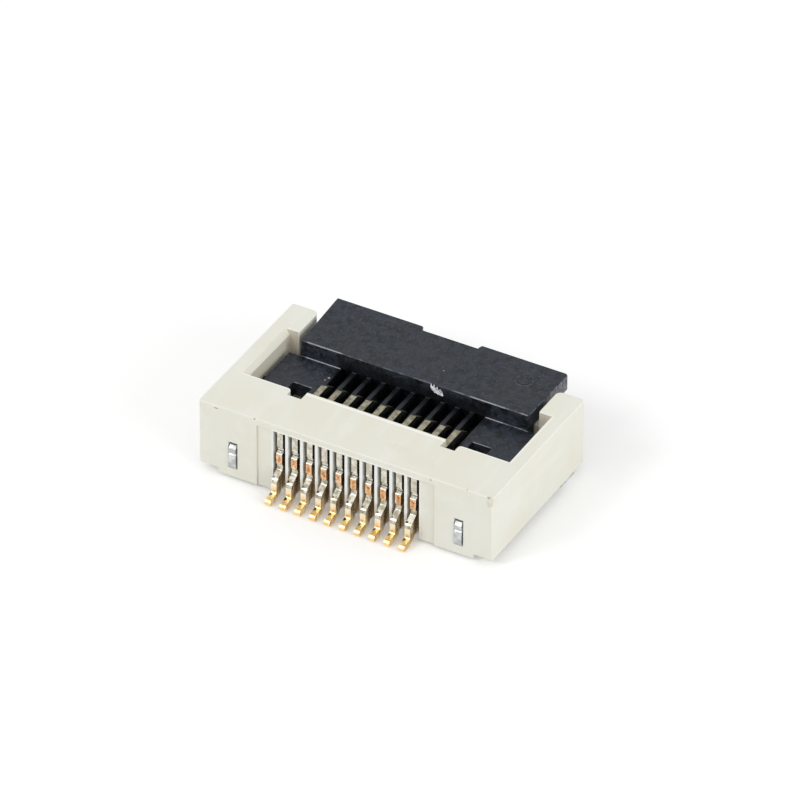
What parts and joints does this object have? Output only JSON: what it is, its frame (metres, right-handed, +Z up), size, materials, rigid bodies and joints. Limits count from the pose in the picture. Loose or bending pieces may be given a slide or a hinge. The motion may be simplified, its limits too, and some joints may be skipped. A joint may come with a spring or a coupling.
{
  "type": "fpc connector",
  "caption": "Low right-angle board connector for a flat flexible cable: pale housing, dark flip-lock actuator, a row of fork contacts with solder tails, and two side solder fittings.",
  "frame": {"origin": "on the board's top face, under the middle of the whole outline from the solder feet to the actuator's rear edge", "axes": "+X along the contact row, -Y towards the solder tails, +Y towards the side the cable enters from, +Z up from the board"},
  "size_m": [0.0098, 0.0072, 0.0025],
  "materials": {
    "housing_resin": "satin moulded",
    "actuator_resin": "satin moulded",
    "contact_metal": "plated, blanked",
    "tinned_sheet": "tin plated"
  },
  "bodies": {
    "base": {"housing": "housing_resin", "contact_01": "contact_metal", "contact_02": "contact_metal", "contact_03": "contact_metal", "contact_04": "contact_metal", "contact_05": "contact_metal", "contact_06": "contact_metal", "contact_07": "contact_metal", "contact_08": "contact_metal", "contact_09": "contact_metal", "contact_10": "contact_metal", "fitting_left": "tinned_sheet", "fitting_right": "tinned_sheet"},
    "lock": {"actuator": "actuator_resin"}
  },
  "joints": [
    {"name": "lock_hinge", "type": "hinge", "parent": "base", "child": "lock", "pos_m": [0, -0.00007, 0.0016], "axis": [1, 0, 0], "range_deg": [0, 90]}
  ]
}
